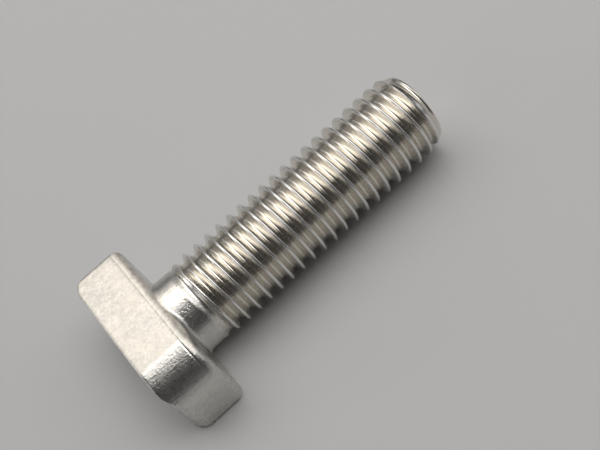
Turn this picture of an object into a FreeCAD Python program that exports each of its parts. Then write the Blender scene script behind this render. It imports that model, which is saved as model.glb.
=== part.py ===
"""T-slot bolt, M8 by 28 class, in stainless steel: one forged and thread-rolled piece.

The body is drawn upright about its own axis: the bearing plane under the head is z = 0, the head
fills the space below it and the shank rises above it. The long sides of the head face -Y and +Y.
The finished bolt is then laid on its side, as it comes to rest: on one long side of the head and
along the thread. In that rest frame +X runs along the axis from head to tip, +Y along the head
and +Z is up, with the origin on the floor under the middle of the bolt.

The helical thread is finer than this model goes, so the threaded length is a plain cylinder at
the major diameter, between the run-out cone and the tip chamfer.
"""
import FreeCAD, Part
import math
import os
import Sketcher

NODE = "t_slot_bolt"
SHEET = "sizes"

SIZES = {
    "thread_diameter": 8.0,
    "under_head_length": 27.5,
    "neck_diameter": 7.42,
    "neck_length": 1.6,
    "runout_length": 2.0,
    "neck_fillet_radius": 0.5,
    "tip_diameter": 6.6,
    "tip_chamfer_length": 1.4,
    "head_length": 14.8,
    "head_width": 8.0,
    "head_height": 5.0,
    "turning_corner_radius": 3.8,
    "square_corner_radius": 0.5,
    "end_rounding_radius": 1.5,
    "bearing_edge_radius": 0.85,
}

NEAR = 1e-4
REST_TURN_DEGREES = 120.0
START_INDEX, END_INDEX = 1, 2
ORIGIN_INDEX, X_AXIS_INDEX, Y_AXIS_INDEX = -1, -1, -2
ON_AXIS = None


class Length:
    """A length that carries its formula in the sheet beside what it comes to now."""

    def __init__(self, formula, value):
        self.formula = formula
        self.value = value

    def __add__(self, other):
        return Length(f"({self.formula} + {other.formula})", self.value + other.value)

    def __sub__(self, other):
        return Length(f"({self.formula} - {other.formula})", self.value - other.value)

    def __neg__(self):
        return Length(f"(-{self.formula})", -self.value)

    def __truediv__(self, number):
        return Length(f"({self.formula} / {number})", self.value / number)


def make_sheet(doc):
    """Write one row for each driving size, and give them back as lengths by name."""
    sheet = doc.addObject("Spreadsheet::Sheet", SHEET)
    for row, (name, value) in enumerate(SIZES.items(), start=1):
        sheet.set(f"A{row}", name)
        sheet.set(f"B{row}", str(value))
        sheet.setAlias(f"B{row}", name)
    doc.recompute()
    return {name: Length(f"{SHEET}.{name}", float(sheet.get(name))) for name in SIZES}


def new_sketch(body, name, role):
    """An empty sketch on one of the body's own origin planes."""
    sketch = body.newObject("Sketcher::SketchObject", name)
    plane = next(part for part in body.Origin.OriginFeatures if part.Role == role)
    sketch.AttachmentSupport = [(plane, "")]
    sketch.MapMode = "FlatFace"
    return sketch


def as_vector(corner):
    across, along = (0.0 if length is ON_AXIS else length.value for length in corner)
    return FreeCAD.Vector(across, along, 0)


def bind(sketch, rule, length):
    """Add a measured constraint and tie it to its formula."""
    index = sketch.addConstraint(rule)
    sketch.setExpression(f"Constraints[{index}]", length.formula)


def hold_point(sketch, geometry, position, corner):
    """Bind both coordinates of a point, or keep it on an axis where one of them is zero."""
    for kind, axis, length in zip(("DistanceX", "DistanceY"), (Y_AXIS_INDEX, X_AXIS_INDEX), corner):
        if length is ON_AXIS:
            sketch.addConstraint(Sketcher.Constraint("PointOnObject", geometry, position, axis))
        else:
            rule = Sketcher.Constraint(kind, ORIGIN_INDEX, START_INDEX, geometry, position, length.value)
            bind(sketch, rule, length)


def join_ends(sketch, first, first_end, second, second_end):
    sketch.addConstraint(Sketcher.Constraint("Coincident", first, first_end, second, second_end))


def draw_outline(sketch, corners):
    """A closed run of straight lines whose corners are all bound."""
    tips = [as_vector(corner) for corner in corners]
    lines = []
    for number, corner in enumerate(corners):
        line = Part.LineSegment(tips[number], tips[(number + 1) % len(tips)])
        lines.append(sketch.addGeometry(line, False))
        hold_point(sketch, lines[number], START_INDEX, corner)
    for number, line in enumerate(lines):
        join_ends(sketch, line, END_INDEX, lines[(number + 1) % len(lines)], START_INDEX)


def draw_corner_waste(sketch, corner, reach):
    """The waste between a square corner and the arc that rounds it off.

    reach holds the radius twice, once for each axis, with the sign of the way into the material.
    """
    along = (corner[0] + reach[0], corner[1])
    beside = (corner[0], corner[1] + reach[1])
    tips = [as_vector(along), as_vector(corner), as_vector(beside)]
    centre = tips[0] + tips[2] - tips[1]
    radius = reach[0] if reach[0].value > 0 else -reach[0]
    middle = centre + (tips[1] - centre).normalize() * radius.value
    first = sketch.addGeometry(Part.LineSegment(tips[0], tips[1]), False)
    second = sketch.addGeometry(Part.LineSegment(tips[1], tips[2]), False)
    arc = sketch.addGeometry(Part.Arc(tips[2], middle, tips[0]), False)
    hold_point(sketch, first, START_INDEX, along)
    hold_point(sketch, second, START_INDEX, corner)
    hold_point(sketch, second, END_INDEX, beside)
    join_ends(sketch, first, END_INDEX, second, START_INDEX)
    starts_beside = sketch.getPoint(arc, START_INDEX).distanceToPoint(tips[2]) < NEAR
    arc_beside, arc_along = (START_INDEX, END_INDEX) if starts_beside else (END_INDEX, START_INDEX)
    join_ends(sketch, arc, arc_beside, second, END_INDEX)
    join_ends(sketch, arc, arc_along, first, START_INDEX)
    bind(sketch, Sketcher.Constraint("Radius", arc, radius.value), radius)


def cut_through(doc, body, name, sketch):
    """A pocket through all, both ways from its sketch."""
    pocket = body.newObject("PartDesign::Pocket", name)
    pocket.Profile = sketch
    pocket.Type = "ThroughAll"
    pocket.Midplane = True
    doc.recompute()
    return pocket


def edge_names(shape, wanted):
    """The names of the edges that pass a test, for a fillet to work on."""
    return [f"Edge{number}" for number, edge in enumerate(shape.Edges, start=1) if wanted(edge)]


def lies_at_height(edge, height):
    return all(abs(end.Point.z - height) < NEAR for end in edge.Vertexes)


def add_fillet(doc, body, name, base, edges, radius):
    fillet = body.newObject("PartDesign::Fillet", name)
    fillet.Base = (base, edges)
    fillet.setExpression("Radius", radius.formula)
    doc.recompute()
    return fillet


def add_head(doc, body, size):
    """The head: a block rounded off at its ends, with two round corners so that it can turn."""
    half_length = size["head_length"] / 2
    half_width = size["head_width"] / 2
    outer_face = -size["head_height"]
    turning = size["turning_corner_radius"]
    rounding = size["end_rounding_radius"]

    plan = new_sketch(body, "HeadPlan", "XY_Plane")
    draw_outline(plan, [
        (-half_length, -half_width),
        (half_length, -half_width),
        (half_length, half_width),
        (-half_length, half_width),
    ])
    block = body.newObject("PartDesign::Pad", "HeadBlock")
    block.Profile = plan
    block.Reversed = True
    block.setExpression("Length", size["head_height"].formula)
    doc.recompute()

    def is_square_corner(edge):
        ends = [end.Point for end in edge.Vertexes]
        upright = abs(ends[0].z - ends[1].z) > NEAR
        return upright and ends[0].x * ends[0].y > 0

    corners = edge_names(block.Shape, is_square_corner)
    add_fillet(doc, body, "SquareCorners", block, corners, size["square_corner_radius"])

    turning_waste = new_sketch(body, "TurningWaste", "XY_Plane")
    draw_corner_waste(turning_waste, (-half_length, half_width), (turning, -turning))
    draw_corner_waste(turning_waste, (half_length, -half_width), (-turning, turning))
    cut_through(doc, body, "TurningCorners", turning_waste)

    end_waste = new_sketch(body, "EndWaste", "XZ_Plane")
    draw_corner_waste(end_waste, (-half_length, outer_face), (rounding, rounding))
    draw_corner_waste(end_waste, (half_length, outer_face), (-rounding, rounding))
    rounded = cut_through(doc, body, "EndRounding", end_waste)

    bearing = edge_names(rounded.Shape, lambda edge: lies_at_height(edge, 0.0))
    add_fillet(doc, body, "BearingEdges", rounded, bearing, size["bearing_edge_radius"])


def add_shank(doc, body, size):
    """The shank: neck, run-out cone, threaded length at the major diameter, tip chamfer."""
    neck = size["neck_diameter"] / 2
    crest = size["thread_diameter"] / 2
    inside_head = -size["head_height"] / 2

    profile = new_sketch(body, "ShankProfile", "XZ_Plane")
    draw_outline(profile, [
        (ON_AXIS, inside_head),
        (neck, inside_head),
        (neck, size["neck_length"]),
        (crest, size["neck_length"] + size["runout_length"]),
        (crest, size["under_head_length"] - size["tip_chamfer_length"]),
        (size["tip_diameter"] / 2, size["under_head_length"]),
        (ON_AXIS, size["under_head_length"]),
    ])
    shank = body.newObject("PartDesign::Revolution", "Shank")
    shank.Profile = profile
    shank.ReferenceAxis = (profile, ["V_Axis"])
    shank.Angle = 360
    doc.recompute()

    lowest = -size["bearing_edge_radius"].value - NEAR

    def is_at_neck_foot(edge):
        ends = [end.Point for end in edge.Vertexes]
        on_neck = all(abs(math.hypot(end.x, end.y) - neck.value) < NEAR for end in ends)
        return on_neck and all(lowest < end.z < NEAR for end in ends)

    foot = edge_names(shank.Shape, is_at_neck_foot)
    add_fillet(doc, body, "NeckFillet", shank, foot, size["neck_fillet_radius"])


def lay_down(body):
    """Turn the bolt on its side, with the wider of head and thread on the floor."""
    rest_turn = FreeCAD.Rotation(FreeCAD.Vector(1, 1, 1), REST_TURN_DEGREES)
    body.Placement = FreeCAD.Placement(FreeCAD.Vector(), rest_turn)
    middle = f"({SHEET}.head_height - {SHEET}.under_head_length) / 2"
    height = f"max({SHEET}.head_width; {SHEET}.thread_diameter) / 2"
    body.setExpression("Placement.Base.x", middle)
    body.setExpression("Placement.Base.z", height)


def check_document(doc, body):
    """Stop where an object failed to build or the bolt isn't one sound solid."""
    for item in doc.Objects:
        if "Invalid" in item.State or "Error" in item.State:
            raise RuntimeError(f"{item.Name} did not build: {item.State}")
    if body.Shape.isNull() or not body.Shape.isValid() or len(body.Shape.Solids) != 1:
        raise RuntimeError("the bolt isn't one valid solid")


def main():
    doc = FreeCAD.newDocument("TSlotBolt")
    size = make_sheet(doc)
    body = doc.addObject("PartDesign::Body", "Bolt")
    body.Label = NODE
    add_head(doc, body, size)
    add_shank(doc, body, size)
    lay_down(body)
    doc.recompute()
    check_document(doc, body)
    os.makedirs("parts", exist_ok=True)
    body.Shape.exportStep(f"parts/{body.Label}.step")
    print(f"{body.Label}: {body.Shape.Volume:.2f} mm3, {len(body.Shape.Faces)} faces")


main()
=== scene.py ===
"""The T-slot bolt as it lies, dressed for the camera.

The bolt is one closed skin of rings round its axis: outer face, end roundings, side walls,
bearing side, neck, helical thread and tip. It is worked out in the bolt's own frame, in
millimetres: x along the head, y across it, z along the axis with the bearing plane at z = 0.
"""
import bpy
import math
import numpy as np
from collections import namedtuple
from mathutils import Matrix, Vector
from types import SimpleNamespace


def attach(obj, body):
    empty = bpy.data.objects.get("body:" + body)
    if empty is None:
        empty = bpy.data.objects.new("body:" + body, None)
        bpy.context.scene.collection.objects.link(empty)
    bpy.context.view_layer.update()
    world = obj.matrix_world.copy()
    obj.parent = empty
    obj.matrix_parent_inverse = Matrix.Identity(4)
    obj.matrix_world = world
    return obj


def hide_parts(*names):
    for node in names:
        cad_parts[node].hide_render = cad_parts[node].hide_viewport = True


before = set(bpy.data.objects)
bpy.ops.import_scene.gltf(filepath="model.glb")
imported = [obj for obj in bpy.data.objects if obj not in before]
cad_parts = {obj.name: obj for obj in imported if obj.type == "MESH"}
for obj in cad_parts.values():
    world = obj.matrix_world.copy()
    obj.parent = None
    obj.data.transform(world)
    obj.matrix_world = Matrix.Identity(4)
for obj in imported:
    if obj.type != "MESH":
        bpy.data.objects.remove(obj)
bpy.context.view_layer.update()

NODE = "t_slot_bolt"
BODY = "root"
MM = 0.001
TURN = 2 * math.pi
QUARTER_TURN = math.pi / 2
TINY = 1e-9

# The head, its edges and the neck.
HEAD_LENGTH = 14.8
HEAD_WIDTH = 8.0
HEAD_HEIGHT = 5.0
TURNING_RADIUS = 3.8
SQUARE_RADIUS = 0.5
END_ROUNDING = 1.5
BEARING_ROUNDING = 0.85
OUTER_BREAK = 0.24
SHEAR_LINE_DEPTH = 0.03
NECK_RADIUS = 3.71
NECK_LENGTH = 1.6
NECK_FILLET = 0.5

# The thread and the tip.
UNDER_HEAD = 27.5
RUNOUT_LENGTH = 2.0
RUNOUT_SOFTNESS = 0.3
PITCH = 1.25
CREST_RADIUS = 4.0
THREAD_DEPTH = 0.72
FIRST_CREST = 1.2
CREST_FLAT = 0.15
FLANK_ANGLE_DEGREES = 30
FLANK_SLOPE = 1 / math.tan(math.radians(FLANK_ANGLE_DEGREES))
CREST_SOFTNESS = 0.15
ROOT_SOFTNESS = 0.23
CREST_EDGE = CREST_FLAT / 2
ROOT_EDGE = CREST_EDGE + THREAD_DEPTH / FLANK_SLOPE
TIP_RADIUS = 3.3
TIP_CHAMFER = 1.4
TIP_BREAK = 0.12
CUT_SOFTNESS = 0.06
SPIRAL_START = 1.0

# How finely the skin is divided, in steps or in shares of the way.
END_STEPS = 12
SQUARE_STEPS = 6
SIDE_STEPS = 44
TURNING_STEPS = 20
HALVINGS = 50
FACE_SHARES = (0.25, 0.5, 0.75, 0.97, 1.0)
LEAST_RIM = 0.1
END_ROUNDING_STEPS = 10
BREAK_STEPS = 4
WALL_SHARES = (0.06, 0.5, 0.94)
BEARING_SHARES = (0.06, 0.5, 0.94, 1.0)
BEARING_STEPS = 8
FILLET_STEPS = 8
BALL_SAMPLES = 401
NECK_RING_SHARE = 0.25
CREST_STATIONS = 6
FLANK_STATIONS = 4
ROOT_STATIONS = 5
RIM_STEPS = 4
TIP_SHARES = (0.96, 0.7, 0.35)
MERGE_GRID_PER_MM = 1e4

# The shear line: how far each ring is below the bearing edge, and its share of the depth.
SHEAR_LINE_RINGS = ((0.12, 0.0), (0.08, 1.0), (0.04, 1.0), (0.0, 0.0))

# Where one finish gives way to the next: a start and the width of the change.
SHANK_FROM = (-0.1, 0.4)
THREAD_FROM = (NECK_LENGTH, RUNOUT_LENGTH)
CREST_FROM = (0.85, 0.12)
ROLLED_EDGE_FROM = (-0.55, 0.2)
SLACK = 0.002

# The steel's patterns, in cells for each metre, and the stretched ones with their turn.
GRAIN_SCALE = 5200.0
MOTTLE_SCALE = 1700.0
CLOUD_SCALE = 330.0
PIT_SCALE = 3600.0
STREAK_SCALE = (420.0, 4600.0, 4600.0)
STREAK_TURN = (0.0, 0.0, 0.6)
RIPPLE_SCALE = (60.0, 1300.0, 1300.0)
UNTURNED = (0.0, 0.0, 0.0)
ALREADY_SCALED = 1.0
FINE_DETAIL = 3.0
COARSE_DETAIL = 1.0
EVEN_HARSHNESS = 0.5
MOTTLE_HARSHNESS = 0.55
GRAIN_HARSHNESS = 0.6

# The ranges in which each pattern takes effect.
SPECKLE_RANGE = (1.25, 1.75)
SOFT_SPECKLE_RANGE = (1.1, 1.9)
STREAK_RANGE = (0.3, 0.7)
STAIN_RANGE = (0.4, 0.65)
PITTED_RANGE = (0.42, 0.6)
PIT_RANGE = (0.1, 0.28)
GROOVE_RANGE = (0.1, 0.6)

# How strong each is.
CLOUD_SHARE = 0.6
STREAK_SHARE = 0.4
STAIN_SHARE = 0.25
FORGED_STAIN_SHARE = 0.3
FORGED_PIT_SHARE = 0.25
SIDE_PIT_SHARE = 0.05
PIT_SHADE_SHARE = 0.3
GROOVE_SHARE = 0.85

FORGED_DARK = (0.54, 0.53, 0.505, 1.0)
FORGED_PALE = (0.68, 0.665, 0.635, 1.0)
SIDE_DARK = (0.62, 0.589, 0.536, 1.0)
SIDE_PALE = (0.96, 0.913, 0.838, 1.0)
STAIN = (0.70, 0.64, 0.55, 1.0)
PIT_SHADE = (0.30, 0.28, 0.26, 1.0)
GROOVE_TINT = (0.71, 0.668, 0.60, 1.0)
CREST_TINT = (0.80, 0.79, 0.77, 1.0)

FORGED_ROUGHNESS = (0.24, 0.34)
SHEARED_ROUGHNESS = (0.50, 0.60)
SATIN_ROUGHNESS = (0.25, 0.37)
ROLLED_ROUGHNESS = (0.17, 0.28)

FORGED_GRIT = 0.75
WORKED_GRIT = 0.45
UNEVEN_RELIEF = 0.5
STREAK_RELIEF = 0.5
PIT_RELIEF = -0.7
THREAD_CALM = 0.25
CREST_CALM = 0.3
BUMP_STRENGTH = 0.8
BUMP_HEIGHT = 0.00004

FLOOR_HALF = 1.5
FLOOR_COLOUR = (0.52, 0.52, 0.52, 1.0)
FLOOR_ROUGHNESS = 0.9
FLOOR_GLOSS = 0.2
ROOM_LOW = (0.10, 0.10, 0.102, 1.0)
ROOM_HIGH = (0.05, 0.05, 0.051, 1.0)
ROOM_HIGH_FROM = 0.45

WHITE = (1.0, 1.0, 1.0)
WARM_WHITE = (1.0, 0.985, 0.96)
ALONG_HEAD = (0.0, 1.0, 0.0)
SLANTED = (-0.574, 0.819, 0.0)
SoftLight = namedtuple("SoftLight", "name direction distance size radiance colour along")
LIGHTS = (
    SoftLight("overhead", (0.02, 0.21, 0.975), 0.30, (0.17, 0.56), 1.95, WARM_WHITE, SLANTED),
    SoftLight("overhead_wide", (0.48, 0.12, 0.87), 0.31, (0.25, 0.42), 1.3, WARM_WHITE, SLANTED),
    SoftLight("behind", (0.05, 0.87, 0.50), 0.32, (0.34, 0.18), 0.35, WHITE, ALONG_HEAD),
    SoftLight("tip_side", (0.80, -0.40, 0.42), 0.32, (0.16, 0.16), 0.7, WHITE, ALONG_HEAD),
    SoftLight("head_side", (-0.88, -0.08, 0.46), 0.32, (0.16, 0.14), 0.9, WHITE, ALONG_HEAD),
    SoftLight("far_side", (-0.86, 0.47, 0.18), 0.34, (0.16, 0.10), 2.6, WHITE, ALONG_HEAD),
)

CAMERA_RIGHT = (0.734873, -0.606794, -0.302923)
CAMERA_UP = (0.669300, 0.576719, 0.468437)
CAMERA_PLACE = (-6.9077, -43.5911, 68.5101)
FOCAL_LENGTH = 54.5
SENSOR_WIDTH = 36.0
NEAREST_SEEN = 0.002
FARTHEST_SEEN = 20.0


def shares(steps):
    """Even shares of a way up to its end, without its start."""
    return np.linspace(0, 1, steps + 1)[1:]


def ramp(value, start, width):
    """Zero up to the start, one after this width, and even between."""
    return np.clip((value - start) / width, 0, 1)


def soft_ramp(x, width):
    """Zero below nothing and x above it, with a parabola of this width between."""
    blend = np.clip(x + width / 2, 0, width)
    return blend ** 2 / (2 * width) + np.maximum(x - width / 2, 0)


def head_outline():
    """Points round the head's plan, anticlockwise, each half a half turn of the other."""
    a, b = HEAD_LENGTH / 2, HEAD_WIDTH / 2
    s, t = SQUARE_RADIUS, TURNING_RADIUS
    half = [(a, y) for y in np.linspace(-(b - t), b - s, END_STEPS, endpoint=False)]
    for turn in np.linspace(0, QUARTER_TURN, SQUARE_STEPS, endpoint=False):
        half.append((a - s + s * math.cos(turn), b - s + s * math.sin(turn)))
    first, last = math.atan2(b, a - s), math.atan2(b, -(a - t))
    for angle in np.linspace(first, last, SIDE_STEPS, endpoint=False):
        half.append((b / math.tan(angle), b))
    for turn in np.linspace(QUARTER_TURN, math.pi, TURNING_STEPS, endpoint=False):
        half.append((-(a - t) + t * math.cos(turn), b - t + t * math.sin(turn)))
    half = np.array(half)
    return np.vstack([half, -half])


def depth_inside(x, y):
    """How far a plan point lies inside the head's outline."""
    radius = np.where(x * y > 0, SQUARE_RADIUS, TURNING_RADIUS)
    over_x = np.abs(x) - HEAD_LENGTH / 2 + radius
    over_y = np.abs(y) - HEAD_WIDTH / 2 + radius
    outside = np.hypot(np.maximum(over_x, 0), np.maximum(over_y, 0))
    return radius - outside - np.minimum(np.maximum(over_x, over_y), 0)


def bearing_height(depth):
    """Height of the bearing side at a depth inside the outline, with its rounded edge."""
    gap = np.clip(BEARING_ROUNDING - depth, 0, BEARING_ROUNDING)
    return np.sqrt(BEARING_ROUNDING ** 2 - gap ** 2) - BEARING_ROUNDING


def end_lift(x):
    """How far the outer face has curved up at a place near the head's ends."""
    over = np.clip(np.abs(x) - (HEAD_LENGTH / 2 - END_ROUNDING), 0, END_ROUNDING)
    return END_ROUNDING - np.sqrt(END_ROUNDING ** 2 - over ** 2)


def end_turn(x):
    """The angle that the end rounding has turned through at a place along the head."""
    over = np.abs(x) - (HEAD_LENGTH / 2 - END_ROUNDING)
    return np.arcsin(np.clip(over / END_ROUNDING, 0, 1))


class Plan:
    """The head's plan as seen from the axis: one direction for each column of the skin."""

    def __init__(self):
        self.outline = head_outline()
        self.reach = np.hypot(self.outline[:, 0], self.outline[:, 1])
        self.directions = self.outline / self.reach[:, None]
        along = np.roll(self.outline, -1, axis=0) - np.roll(self.outline, 1, axis=0)
        self.across_share = (along[:, 0] / np.hypot(along[:, 0], along[:, 1])) ** 2
        self.angles = np.unwrap(np.arctan2(self.outline[:, 1], self.outline[:, 0]))

    def places(self, radius, z):
        """One point in each direction, at this distance from the axis and this height."""
        plan = self.directions * np.broadcast_to(radius, self.reach.shape)[:, None]
        return np.column_stack([plan, np.broadcast_to(z, self.reach.shape)])

    def depth(self, radius):
        """How far inside the outline the points at this distance from the axis are."""
        plan = self.directions * radius[..., None]
        return depth_inside(plan[..., 0], plan[..., 1])

    def radius_at(self, inset):
        """Distance from the axis at which each direction is this far inside the outline."""
        low, high = np.zeros_like(self.reach), self.reach.copy()
        for _ in range(HALVINGS):
            middle = (low + high) / 2
            inside = self.depth(middle) > inset
            low, high = np.where(inside, middle, low), np.where(inside, high, middle)
        return high


def outer_face_rings(plan):
    """From the middle of the outer face out over the end roundings to the broken edge."""
    bottom = -HEAD_HEIGHT
    x_share = np.maximum(np.abs(plan.directions[:, 0]), TINY)
    flat_reach = (HEAD_LENGTH / 2 - END_ROUNDING) / x_share
    edge_break = OUTER_BREAK * plan.across_share
    broken = plan.radius_at(edge_break)
    flat_edge = np.minimum(broken - LEAST_RIM, flat_reach)
    rings = [plan.places(flat_edge * share, bottom) for share in FACE_SHARES]
    stop = end_turn(x_share * broken)
    for share in shares(END_ROUNDING_STEPS):
        by_turn = (HEAD_LENGTH / 2 - END_ROUNDING + END_ROUNDING * np.sin(stop * share)) / x_share
        straight = flat_edge + (broken - flat_edge) * share
        radius = np.where(stop > 0, np.clip(by_turn, flat_edge, broken), straight)
        rings.append(plan.places(radius, bottom + end_lift(x_share * radius)))
    foot = bottom + end_lift(plan.outline[:, 0])
    corner = np.column_stack([plan.outline, foot])
    above = np.column_stack([plan.outline, foot + edge_break])
    inner = rings[-1]
    for share in shares(BREAK_STEPS):
        keep = 1 - share
        rings.append(keep ** 2 * inner + 2 * share * keep * corner + share ** 2 * above)
    return rings


def wall_rings(plan, foot):
    """Up the head's side, with a fine shearing line below the bearing edge on the long sides."""
    top = -BEARING_ROUNDING
    rings = []
    for share in WALL_SHARES:
        rings.append(np.column_stack([plan.outline, foot + (top - foot) * share]))
    for below, depth in SHEAR_LINE_RINGS:
        radius = plan.radius_at(SHEAR_LINE_DEPTH * depth * plan.across_share)
        rings.append(plan.places(radius, top - below))
    return rings


def bearing_rings(plan):
    """Over the rounded bearing edge, across the bearing side and up the fillet to the neck.

    The fillet is where a ball rolls that touches the neck and the bearing side, or the edge
    rounding where the head is hardly wider than the neck.
    """
    samples = np.linspace(0, 1, BALL_SAMPLES)[:, None]
    radii = NECK_RADIUS + samples * np.minimum(2 * NECK_FILLET, plan.reach - NECK_RADIUS)
    heights = bearing_height(plan.depth(radii))
    centre = NECK_RADIUS + NECK_FILLET
    lifted = heights + np.sqrt(np.maximum(NECK_FILLET ** 2 - (radii - centre) ** 2, 0))
    touch = np.argmax(lifted, axis=0), np.arange(len(plan.reach))
    ball_height, touch_radius, touch_height = lifted[touch], radii[touch], heights[touch]

    rings = []
    last_depth = np.minimum(plan.depth(touch_radius), BEARING_ROUNDING)
    last_turn = np.arccos(1 - last_depth / BEARING_ROUNDING)
    for share in shares(BEARING_STEPS):
        inset = BEARING_ROUNDING * (1 - np.cos(last_turn * share))
        radius = np.maximum(plan.radius_at(inset), touch_radius)
        rings.append(plan.places(radius, bearing_height(inset)))
    edge_radius = np.hypot(rings[-1][:, 0], rings[-1][:, 1])
    edge_height = rings[-1][:, 2]
    for share in BEARING_SHARES:
        radius = edge_radius + (touch_radius - edge_radius) * share
        rings.append(plan.places(radius, edge_height + (touch_height - edge_height) * share))
    first_turn = np.arctan2(touch_height - ball_height, touch_radius - centre)
    for share in shares(FILLET_STEPS):
        turn = first_turn + (-math.pi - first_turn) * share
        radius = centre + NECK_FILLET * np.cos(turn)
        rings.append(plan.places(radius, ball_height + NECK_FILLET * np.sin(turn)))
    neck_height = ball_height + (SPIRAL_START - ball_height) * NECK_RING_SHARE
    rings.append(plan.places(NECK_RADIUS, neck_height))
    return rings


def thread_height(z, angle):
    """Share of the full thread depth at a place on the shank, one at the crest."""
    turn = (z - FIRST_CREST) / PITCH - angle / TURN
    along = np.abs(turn - np.round(turn)) * PITCH
    fall = soft_ramp(along - CREST_EDGE, CREST_SOFTNESS)
    fall -= soft_ramp(along - ROOT_EDGE, ROOT_SOFTNESS)
    return 1 - fall * FLANK_SLOPE / THREAD_DEPTH


def shank_radius(z, angle):
    """The shank's surface: neck, run-out, thread and tip chamfer."""
    after_neck = z - NECK_LENGTH
    share = soft_ramp(after_neck, RUNOUT_SOFTNESS)
    share -= soft_ramp(after_neck - RUNOUT_LENGTH, RUNOUT_SOFTNESS)
    share /= RUNOUT_LENGTH
    crest = NECK_RADIUS + (CREST_RADIUS - NECK_RADIUS) * share
    root = NECK_RADIUS + (CREST_RADIUS - THREAD_DEPTH - NECK_RADIUS) * share
    radius = root + (crest - root) * thread_height(z, angle)
    slope = (CREST_RADIUS - TIP_RADIUS) / TIP_CHAMFER
    chamfer = TIP_RADIUS + (UNDER_HEAD - z) * slope
    return radius - soft_ramp(radius - chamfer, CUT_SOFTNESS)


def pitch_stations():
    """Places within one pitch for the rows of the spiral, close together where it bends."""
    flank_start = CREST_EDGE + CREST_SOFTNESS / 2
    flank_end = ROOT_EDGE - ROOT_SOFTNESS / 2
    half = np.concatenate([
        np.linspace(0, flank_start, CREST_STATIONS),
        np.linspace(flank_start, flank_end, FLANK_STATIONS)[1:],
        np.linspace(flank_end, PITCH / 2, ROOT_STATIONS)[1:],
    ])
    return np.concatenate([half, PITCH - half[-2:0:-1]])


def spiral_rows(plan):
    """Rows that follow the helix, each place clamped between the neck and the tip."""
    stations = pitch_stations()
    top = UNDER_HEAD - TIP_BREAK
    phase = FIRST_CREST + PITCH * plan.angles[0] / TURN
    first = math.floor((SPIRAL_START - phase) / PITCH) - 1
    last = math.ceil((top - phase) / PITCH) + 1
    starts = phase + PITCH * np.arange(first, last + 1)
    rows = (starts[:, None] + stations).reshape(-1, 1)
    z = np.clip(rows + PITCH * (plan.angles - plan.angles[0]) / TURN, SPIRAL_START, top)
    radius = shank_radius(z, plan.angles)
    places = np.dstack([radius * np.cos(plan.angles), radius * np.sin(plan.angles), z])
    return places, len(stations)


def tip_rings(plan, rim):
    """From the last row of the thread over the broken rim and in across the end of the bolt."""
    start = np.hypot(rim[:, 0], rim[:, 1])
    rings = []
    for turn in np.linspace(0, QUARTER_TURN, RIM_STEPS + 1)[1:]:
        radius = start - TIP_BREAK * (1 - math.cos(turn))
        rings.append(plan.places(radius, UNDER_HEAD - TIP_BREAK * (1 - math.sin(turn))))
    for share in TIP_SHARES:
        rings.append(plan.places((start - TIP_BREAK) * share, UNDER_HEAD))
    return rings


class Skin:
    """Vertices and faces of the closed skin, gathered ring by ring."""

    def __init__(self, columns):
        self.columns = columns
        self.points = []
        self.faces = []
        self.count = 0

    def add(self, places):
        self.points.append(places)
        self.count += len(places)
        return np.arange(self.count - len(places), self.count)

    def bridge(self, lower, upper):
        self.faces += zip(lower, np.roll(lower, -1), np.roll(upper, -1), upper)

    def add_rings(self, rings, previous=None):
        for places in rings:
            current = self.add(places)
            if previous is not None:
                self.bridge(previous, current)
            previous = current
        return previous

    def add_spiral(self, rows, per_pitch, previous):
        """The rows of the helix, where the end of each meets the start of the row a pitch on."""
        grid = self.add(rows.reshape(-1, 3)).reshape(rows.shape[:2])
        self.bridge(previous, grid[0])
        for lower, upper in zip(grid, grid[1:]):
            self.faces += zip(lower[:-1], lower[1:], upper[1:], upper[:-1])
        ends, starts = grid[:-per_pitch, -1], grid[per_pitch:, 0]
        self.faces += zip(ends[:-1], starts[:-1], starts[1:], ends[1:])
        return grid[-1]

    def close(self, ring, place, last):
        """A fan from a point on the axis, at the first ring or at the last."""
        centre = self.add(np.array([place]))[0]
        turned = np.roll(ring, -1)
        pair = (ring, turned) if last else (turned, ring)
        self.faces += [(a, b, centre) for a, b in zip(*pair)]

    def merged(self):
        """Points with doubles made one, and faces without their repeated corners."""
        points = np.vstack(self.points)
        keys = np.round(points * MERGE_GRID_PER_MM).astype(np.int64)
        _, first, which = np.unique(keys, axis=0, return_index=True, return_inverse=True)
        which = which.ravel()
        faces = []
        for face in self.faces:
            corners = [which[k] for k in face]
            kept = [c for i, c in enumerate(corners) if c != corners[i - 1]]
            if len(kept) > 2 and len(set(kept)) == len(kept):
                faces.append([int(c) for c in kept])
        return points[first], faces


def bolt_skin():
    """The whole bolt's points and faces, from the middle of the outer face to the tip."""
    plan = Plan()
    skin = Skin(len(plan.reach))
    outer = outer_face_rings(plan)
    head = outer + wall_rings(plan, outer[-1][:, 2]) + bearing_rings(plan)
    previous = skin.add_rings(head)
    skin.close(np.arange(skin.columns), (0.0, 0.0, -HEAD_HEIGHT), last=False)
    rows, per_pitch = spiral_rows(plan)
    previous = skin.add_spiral(rows, per_pitch, previous)
    previous = skin.add_rings(tip_rings(plan, rows[-1]), previous)
    skin.close(previous, (0.0, 0.0, UNDER_HEAD), last=True)
    return skin.merged()


def lying_down(points):
    """From the bolt's own frame in millimetres to the frame of the lying bolt in metres."""
    along = points[:, 2] + (HEAD_HEIGHT - UNDER_HEAD) / 2
    return np.column_stack([along, points[:, 0], points[:, 1] + HEAD_WIDTH / 2]) * MM


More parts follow.
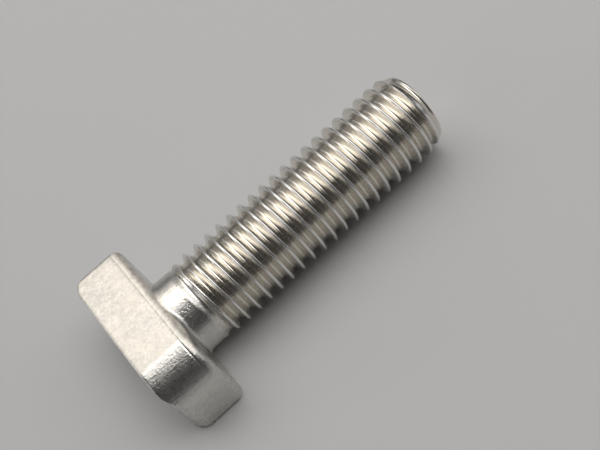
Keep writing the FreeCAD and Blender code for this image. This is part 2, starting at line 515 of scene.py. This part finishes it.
def add_shares(mesh, points):
    """Where the skin is sheared side, shank, thread or crest, and how deep in the groove it is.

    The sheared side also covers what was rolled over the bearing edge of the long sides.
    """
    x, y, z = points.T
    height = thread_height(z, np.arctan2(y, x))
    on_thread = ramp(z, *THREAD_FROM)
    beyond_side = np.abs(y) - HEAD_WIDTH / 2
    on_side = (beyond_side > -SHEAR_LINE_DEPTH - SLACK) & (z < SLACK - BEARING_ROUNDING)
    rolled_over = ramp(beyond_side, *ROLLED_EDGE_FROM) * (z > -BEARING_ROUNDING)
    finishes = {
        "side": np.maximum(on_side, rolled_over),
        "shank": ramp(z, *SHANK_FROM),
        "thread": on_thread,
        "crest": ramp(height, *CREST_FROM) * on_thread,
        "groove": (1 - height) * on_thread,
    }
    for name, values in finishes.items():
        layer = mesh.attributes.new(name, "FLOAT", "POINT")
        layer.data.foreach_set("value", values.astype(np.float32))


def make_bolt():
    """The bolt as one smooth object where it lies."""
    points, faces = bolt_skin()
    mesh = bpy.data.meshes.new("bolt_skin")
    mesh.from_pydata(lying_down(points).tolist(), [], faces)
    add_shares(mesh, points)
    mesh.shade_smooth()
    mesh.update()
    bolt = bpy.data.objects.new("bolt", mesh)
    bpy.context.scene.collection.objects.link(bolt)
    return bolt


class Nodes:
    """Short calls for one material's node tree."""

    def __init__(self, name):
        self.material = bpy.data.materials.new(name)
        self.material.use_nodes = True
        self.tree = self.material.node_tree
        self.shader = self.tree.nodes["Principled BSDF"]

    def add(self, kind, inputs=(), **settings):
        node = self.tree.nodes.new("ShaderNode" + kind)
        for name, value in settings.items():
            setattr(node, name, value)
        for name, value in dict(inputs).items():
            self.put(node.inputs[name], value)
        return node

    def put(self, socket, value):
        if isinstance(value, bpy.types.NodeSocket):
            self.tree.links.new(value, socket)
        else:
            socket.default_value = value

    def attribute(self, name):
        return self.add("Attribute", attribute_name=name).outputs["Fac"]

    def stretched(self, place, scale, turn):
        inputs = {"Vector": place, "Rotation": turn, "Scale": scale}
        return self.add("Mapping", inputs).outputs["Vector"]

    def noise(self, place, scale, detail, harshness):
        inputs = {"Vector": place, "Scale": scale, "Detail": detail, "Roughness": harshness}
        return self.add("TexNoise", inputs).outputs["Fac"]

    def spread(self, value, low, high, to_low=0.0, to_high=1.0):
        """Map a range of a value to another range, held at both ends."""
        inputs = {"Value": value, "From Min": low, "From Max": high,
                  "To Min": to_low, "To Max": to_high}
        return self.add("MapRange", inputs).outputs["Result"]

    def between(self, share, at_none, at_full):
        """A number that goes from one value to another as a share goes from none to full."""
        return self.spread(share, 0.0, 1.0, at_none, at_full)

    def reckoned(self, operation, first, second):
        return self.add("Math", {0: first, 1: second}, operation=operation).outputs["Value"]

    def plus(self, first, second):
        return self.reckoned("ADD", first, second)

    def times(self, first, second):
        return self.reckoned("MULTIPLY", first, second)

    def larger(self, first, second):
        return self.reckoned("MAXIMUM", first, second)

    def blend(self, share, first, second):
        node = self.add("Mix", data_type="FLOAT")
        for index, value in ((0, share), (2, first), (3, second)):
            self.put(node.inputs[index], value)
        return node.outputs[0]

    def mix(self, share, first, second):
        node = self.add("Mix", data_type="RGBA")
        for index, value in ((0, share), (6, first), (7, second)):
            self.put(node.inputs[index], value)
        return node.outputs[2]


def steel_patterns(n):
    """What the steel's colour, gloss and relief are made from."""
    p = SimpleNamespace()
    for name in ("side", "shank", "thread", "crest", "groove"):
        setattr(p, name, n.attribute(name))
    place = n.add("TexCoord").outputs["Object"]
    p.grain = n.noise(place, GRAIN_SCALE, FINE_DETAIL, GRAIN_HARSHNESS)
    p.mottle = n.noise(place, MOTTLE_SCALE, FINE_DETAIL, MOTTLE_HARSHNESS)
    p.cloud = n.noise(place, CLOUD_SCALE, FINE_DETAIL, EVEN_HARSHNESS)
    slanted = n.stretched(place, STREAK_SCALE, STREAK_TURN)
    p.streak = n.noise(slanted, ALREADY_SCALED, FINE_DETAIL, GRAIN_HARSHNESS)
    lengthwise = n.stretched(place, RIPPLE_SCALE, UNTURNED)
    p.ripple = n.noise(lengthwise, ALREADY_SCALED, COARSE_DETAIL, EVEN_HARSHNESS)
    speckle = n.plus(n.plus(p.grain, p.mottle), n.times(p.cloud, CLOUD_SHARE))
    speckle = n.plus(speckle, n.times(p.streak, STREAK_SHARE))
    p.tone = n.spread(speckle, *SPECKLE_RANGE)
    p.soft_tone = n.spread(speckle, *SOFT_SPECKLE_RANGE)

    pit = n.add("TexVoronoi", {"Vector": place, "Scale": PIT_SCALE}).outputs["Distance"]
    pitted = n.times(n.spread(pit, *PIT_RANGE, 1.0, 0.0), n.spread(p.cloud, *PITTED_RANGE))
    pitted = n.times(pitted, n.between(p.shank, FORGED_PIT_SHARE, 1.0))
    p.pitted = n.times(pitted, n.between(p.side, 1.0, SIDE_PIT_SHARE))
    return p


def steel_colour(n, p):
    """Grey forged faces, pale warm sides, creamy grooves and bright crests."""
    colour = n.mix(p.soft_tone, FORGED_DARK, FORGED_PALE)
    colour = n.mix(p.side, colour, n.mix(p.tone, SIDE_DARK, SIDE_PALE))
    stain = n.spread(p.cloud, *STAIN_RANGE, 0.0, STAIN_SHARE)
    stain = n.times(stain, n.between(p.side, FORGED_STAIN_SHARE, 1.0))
    colour = n.mix(stain, colour, STAIN)
    colour = n.mix(n.times(p.pitted, PIT_SHADE_SHARE), colour, PIT_SHADE)
    in_groove = n.spread(p.groove, *GROOVE_RANGE, 0.0, GROOVE_SHARE)
    colour = n.mix(in_groove, colour, GROOVE_TINT)
    return n.mix(p.crest, colour, CREST_TINT)


def steel_roughness(n, p):
    """Dull sheared sides, satin neck and forged faces, glossy rolled thread."""
    satin = n.spread(p.streak, *STREAK_RANGE, *SATIN_ROUGHNESS)
    rolled = n.spread(p.streak, *STREAK_RANGE, *ROLLED_ROUGHNESS)
    forged = n.between(p.soft_tone, *FORGED_ROUGHNESS)
    sheared = n.between(p.tone, *SHEARED_ROUGHNESS)
    head = n.blend(p.side, forged, sheared)
    return n.blend(p.shank, head, n.blend(p.thread, satin, rolled))


def steel_relief(n, p):
    """Fine grit, a lengthwise ripple on forged faces, and pits; calm on the rolled thread."""
    worked = n.larger(p.side, p.shank)
    uneven = n.blend(worked, p.ripple, p.mottle)
    grit = n.times(p.grain, n.between(worked, FORGED_GRIT, WORKED_GRIT))
    relief = n.plus(grit, n.times(uneven, UNEVEN_RELIEF))
    relief = n.plus(relief, n.times(p.streak, STREAK_RELIEF))
    relief = n.plus(relief, n.times(p.pitted, PIT_RELIEF))
    calm = n.times(n.between(p.thread, 1.0, THREAD_CALM), n.between(p.crest, 1.0, CREST_CALM))
    height = n.times(relief, calm)
    inputs = {"Height": height, "Strength": BUMP_STRENGTH, "Distance": BUMP_HEIGHT}
    return n.add("Bump", inputs).outputs["Normal"]


def stainless_steel():
    """Bright cold-formed stainless steel."""
    n = Nodes("stainless_steel")
    p = steel_patterns(n)
    n.put(n.shader.inputs["Base Color"], steel_colour(n, p))
    n.put(n.shader.inputs["Roughness"], steel_roughness(n, p))
    n.put(n.shader.inputs["Normal"], steel_relief(n, p))
    n.shader.inputs["Metallic"].default_value = 1.0
    return n.material


def make_floor():
    """A plain pale floor under the bolt."""
    half = FLOOR_HALF
    mesh = bpy.data.meshes.new("floor")
    corners = [(-half, -half, 0), (half, -half, 0), (half, half, 0), (-half, half, 0)]
    mesh.from_pydata(corners, [], [(0, 1, 2, 3)])
    floor = bpy.data.objects.new("floor", mesh)
    bpy.context.scene.collection.objects.link(floor)
    n = Nodes("floor_paint")
    n.shader.inputs["Base Color"].default_value = FLOOR_COLOUR
    n.shader.inputs["Roughness"].default_value = FLOOR_ROUGHNESS
    n.shader.inputs["Specular IOR Level"].default_value = FLOOR_GLOSS
    mesh.materials.append(n.material)


def make_world():
    """A dim soft room, a little darker overhead."""
    world = bpy.data.worlds.new("studio")
    world.use_nodes = True
    tree = world.node_tree
    background = tree.nodes["Background"]
    place = tree.nodes.new("ShaderNodeTexCoord").outputs["Generated"]
    split = tree.nodes.new("ShaderNodeSeparateXYZ")
    tree.links.new(place, split.inputs[0])
    ramp_node = tree.nodes.new("ShaderNodeValToRGB")
    low, high = ramp_node.color_ramp.elements
    low.color = ROOM_LOW
    high.color = ROOM_HIGH
    high.position = ROOM_HIGH_FROM
    tree.links.new(split.outputs["Z"], ramp_node.inputs["Fac"])
    tree.links.new(ramp_node.outputs["Color"], background.inputs["Color"])
    background.inputs["Strength"].default_value = 1.0
    bpy.context.scene.world = world


def add_soft_light(soft):
    """A rectangular soft light that faces the bolt, with the brightness of its surface."""
    data = bpy.data.lights.new(soft.name, "AREA")
    data.shape = "RECTANGLE"
    data.size, data.size_y = soft.size
    data.energy = soft.radiance * math.pi * soft.size[0] * soft.size[1]
    data.color = soft.colour
    light = bpy.data.objects.new(soft.name, data)
    away = Vector(soft.direction).normalized()
    along = Vector(soft.along)
    length_way = (along - away * away.dot(along)).normalized()
    turn = Matrix((length_way.cross(away), length_way, away)).transposed()
    light.visible_camera = False
    light.location = away * soft.distance
    light.rotation_mode = "QUATERNION"
    light.rotation_quaternion = turn.to_quaternion()
    bpy.context.scene.collection.objects.link(light)


def make_lights():
    """A long soft light overhead, a wider dimmer one beside it, and small ones all round."""
    for soft in LIGHTS:
        add_soft_light(soft)


def make_camera():
    """The photograph's viewing angle: from above the near end of the head, rolled over."""
    right = Vector(CAMERA_RIGHT)
    up = Vector(CAMERA_UP)
    back = right.cross(up)
    camera = bpy.data.cameras.new("camera")
    camera.lens = FOCAL_LENGTH
    camera.sensor_width = SENSOR_WIDTH
    camera.clip_start = NEAREST_SEEN
    camera.clip_end = FARTHEST_SEEN
    holder = bpy.data.objects.new("camera", camera)
    turn = Matrix((right, up, back)).transposed()
    holder.matrix_world = Matrix.Translation(Vector(CAMERA_PLACE) * MM) @ turn.to_4x4()
    bpy.context.scene.collection.objects.link(holder)
    bpy.context.scene.camera = holder


bolt = make_bolt()
bolt.data.materials.append(stainless_steel())
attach(bolt, BODY)
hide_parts(NODE)
make_floor()
make_world()
make_lights()
make_camera()
bpy.context.scene.view_settings.view_transform = "Standard"
